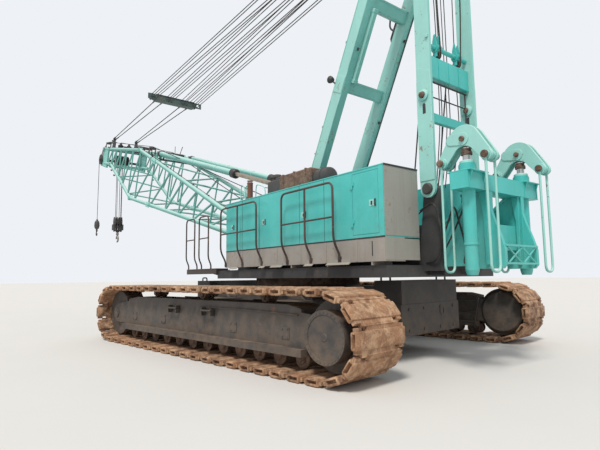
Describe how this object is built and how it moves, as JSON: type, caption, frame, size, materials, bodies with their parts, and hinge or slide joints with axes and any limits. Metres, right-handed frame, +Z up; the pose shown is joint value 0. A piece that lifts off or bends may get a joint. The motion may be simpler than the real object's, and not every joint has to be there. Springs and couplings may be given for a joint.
{
  "type": "crawler crane",
  "caption": "Crawler crane with shoe tracks, lattice boom, tall A-frame gantry, hollow cab, machinery houses and rear weight-lifting cylinders; rear counterweight off.",
  "frame": {"origin": "on the ground, under the slewing axis", "axes": "+X forward along the crawlers, +Y to the left, +Z up; the upper machinery stands 7 degrees to the right of +X"},
  "size_m": [21.4537, 6.845, 9.53],
  "materials": {
    "frame_black": "worn",
    "bare_steel": "dull",
    "track_steel": "dusty",
    "grey_paint": "worn",
    "teal_paint": "satin",
    "boom_paint": "worn",
    "rusty_steel": "rusty",
    "window_glass": "clear",
    "black_plastic": "matt",
    "chrome_rod": "polished"
  },
  "bodies": {
    "lower": {"carbody": "frame_black", "slewing_ring": "bare_steel", "carbody_weights": "frame_black", "crawler_frames": "frame_black", "track_rollers": "bare_steel", "tumblers": "bare_steel", "drive_covers": "frame_black", "track_left": "track_steel", "track_right": "track_steel", "frame_steps": "frame_black"},
    "upper": {"deck": "frame_black", "deck_skirts": "grey_paint", "left_house": "teal_paint", "right_house": "teal_paint", "engine_block": "frame_black", "exhaust": "rusty_steel", "roof_boxes": "rusty_steel", "guard_rails": "frame_black", "cab": "teal_paint", "cab_glass": "window_glass", "cab_seat": "black_plastic", "gantry_front_legs": "boom_paint", "gantry_rear_legs": "boom_paint", "rope_guide": "teal_paint", "lift_frame": "teal_paint", "lift_barrels": "teal_paint"},
    "boom": {"boom_base": "boom_paint", "boom_tip": "boom_paint"},
    "head_sheaves": {"head_sheaves": "bare_steel"},
    "gantry_sheaves": {"gantry_sheaves": "bare_steel"},
    "main_drum": {"main_drum": "bare_steel"},
    "aux_drum": {"aux_drum": "bare_steel"},
    "boom_hoist_drum": {"boom_hoist_drum": "bare_steel"},
    "hook_block": {"hook_block": "frame_black"},
    "hook": {"hook": "frame_black"},
    "peak_yoke": {"peak_yoke": "frame_black"},
    "bridle": {"bridle": "frame_black"},
    "pendants": {"pendants": "frame_black"},
    "backstop_barrels": {"backstop_barrels": "boom_paint"},
    "backstop_rods": {"backstop_rods": "bare_steel"},
    "lift_rod_left": {"lift_rod_left": "chrome_rod"},
    "lift_rod_right": {"lift_rod_right": "chrome_rod"},
    "equalizer_left": {"equalizer_left": "boom_paint"},
    "equalizer_right": {"equalizer_right": "boom_paint"},
    "left_rear_door": {"left_rear_door": "teal_paint"},
    "right_front_door": {"right_front_door": "teal_paint"},
    "right_rear_door": {"right_rear_door": "teal_paint"},
    "cab_door": {"cab_door": "teal_paint"}
  },
  "joints": [
    {"name": "slew", "type": "hinge", "parent": "lower", "child": "upper", "pos_m": [0, 0, 0], "axis": [0, 0, 1], "continuous": true},
    {"name": "boom_luff", "type": "hinge", "parent": "upper", "child": "boom", "pos_m": [1.14143, -0.14015, 2.5], "axis": [-0.1219, -0.9925, 0], "range_deg": [-12, 60]},
    {"name": "head_sheaves_spin", "type": "hinge", "parent": "boom", "child": "head_sheaves", "pos_m": [15.42008, -1.89335, 7.53066], "axis": [0.1219, 0.9925, 0], "continuous": true},
    {"name": "gantry_sheaves_spin", "type": "hinge", "parent": "upper", "child": "gantry_sheaves", "pos_m": [-4.04959, 0.49723, 9.25], "axis": [0.1219, 0.9925, 0], "continuous": true},
    {"name": "main_drum_spin", "type": "hinge", "parent": "upper", "child": "main_drum", "pos_m": [0.24814, -0.03047, 2.2], "axis": [0.1219, 0.9925, 0], "continuous": true},
    {"name": "aux_drum_spin", "type": "hinge", "parent": "upper", "child": "aux_drum", "pos_m": [-1.24068, 0.15234, 2.2], "axis": [0.1219, 0.9925, 0], "continuous": true},
    {"name": "boom_hoist_drum_spin", "type": "hinge", "parent": "upper", "child": "boom_hoist_drum", "pos_m": [-2.33248, 0.28639, 2.2], "axis": [0.1219, 0.9925, 0], "continuous": true},
    {"name": "hook_hang", "type": "hinge", "parent": "boom", "child": "hook_block", "pos_m": [15.42008, -1.89335, 7.53066], "axis": [-0.1219, -0.9925, 0], "range_deg": [-60.5, 12.5]},
    {"name": "hook_swivel", "type": "hinge", "parent": "hook_block", "child": "hook", "pos_m": [15.76182, -1.93531, 3.95], "axis": [0, 0, 1], "continuous": true},
    {"name": "rope_swing", "type": "hinge", "parent": "upper", "child": "peak_yoke", "pos_m": [-4.04959, 0.49723, 9.25], "axis": [-0.1219, -0.9925, 0], "range_deg": [-9, 43]},
    {"name": "bridle_haul", "type": "slide", "parent": "peak_yoke", "child": "bridle", "axis": [0.9914, -0.1217, -0.0489], "range_m": [-8.1, 1.63]},
    {"name": "pendant_swing", "type": "hinge", "parent": "bridle", "child": "pendants", "pos_m": [8.72448, -1.07123, 8.62], "axis": [-0.1219, -0.9925, 0], "range_deg": [-2.5, 12.1]},
    {"name": "backstop_swing", "type": "hinge", "parent": "boom", "child": "backstop_barrels", "pos_m": [8.39114, -1.0303, 6.34894], "axis": [-0.1219, -0.9925, 0], "range_deg": [-1, 2.5]},
    {"name": "backstop_slide", "type": "slide", "parent": "backstop_barrels", "child": "backstop_rods", "axis": [-0.9456, 0.1161, -0.3038], "range_m": [-1.46, 0.31]},
    {"name": "lift_left", "type": "slide", "parent": "upper", "child": "lift_rod_left", "axis": [0, 0, 1], "range_m": [0, 0.9]},
    {"name": "lift_right", "type": "slide", "parent": "upper", "child": "lift_rod_right", "axis": [0, 0, 1], "range_m": [0, 0.9]},
    {"name": "equalizer_left_tilt", "type": "hinge", "parent": "lift_rod_left", "child": "equalizer_left", "pos_m": [-4.84913, 1.41148, 3.575], "axis": [0.1219, 0.9925, 0], "range_deg": [-5, 5]},
    {"name": "equalizer_right_tilt", "type": "hinge", "parent": "lift_rod_right", "child": "equalizer_right", "pos_m": [-5.04656, -0.19644, 3.575], "axis": [0.1219, 0.9925, 0], "range_deg": [-5, 5]},
    {"name": "left_rear_door_swing", "type": "hinge", "parent": "upper", "child": "left_rear_door", "pos_m": [-3.05187, 2.00115, 2.7], "axis": [0, 0, -1], "range_deg": [0, 100]},
    {"name": "right_front_door_swing", "type": "hinge", "parent": "upper", "child": "right_front_door", "pos_m": [-1.19226, -1.48003, 2.7], "axis": [0, 0, 1], "range_deg": [0, 100]},
    {"name": "right_rear_door_swing", "type": "hinge", "parent": "upper", "child": "right_rear_door", "pos_m": [-2.1848, -1.35816, 2.7], "axis": [0, 0, 1], "range_deg": [0, 100]},
    {"name": "cab_door_swing", "type": "hinge", "parent": "upper", "child": "cab_door", "pos_m": [2.40425, -2.38508, 2.7], "axis": [0, 0, 1], "range_deg": [0, 90]}
  ],
  "couplings": [
    {"joint": "hook_hang", "follows": "boom_luff", "ratio": -1},
    {"joint": "rope_swing", "follows": "boom_luff", "ratio": 0.712},
    {"joint": "bridle_haul", "follows": "boom_luff", "m_per_rad": -7.715},
    {"joint": "pendant_swing", "follows": "boom_luff", "ratio": 0.2},
    {"joint": "backstop_swing", "follows": "boom_luff", "ratio": 0.03},
    {"joint": "backstop_slide", "follows": "boom_luff", "m_per_rad": -1.38}
  ]
}
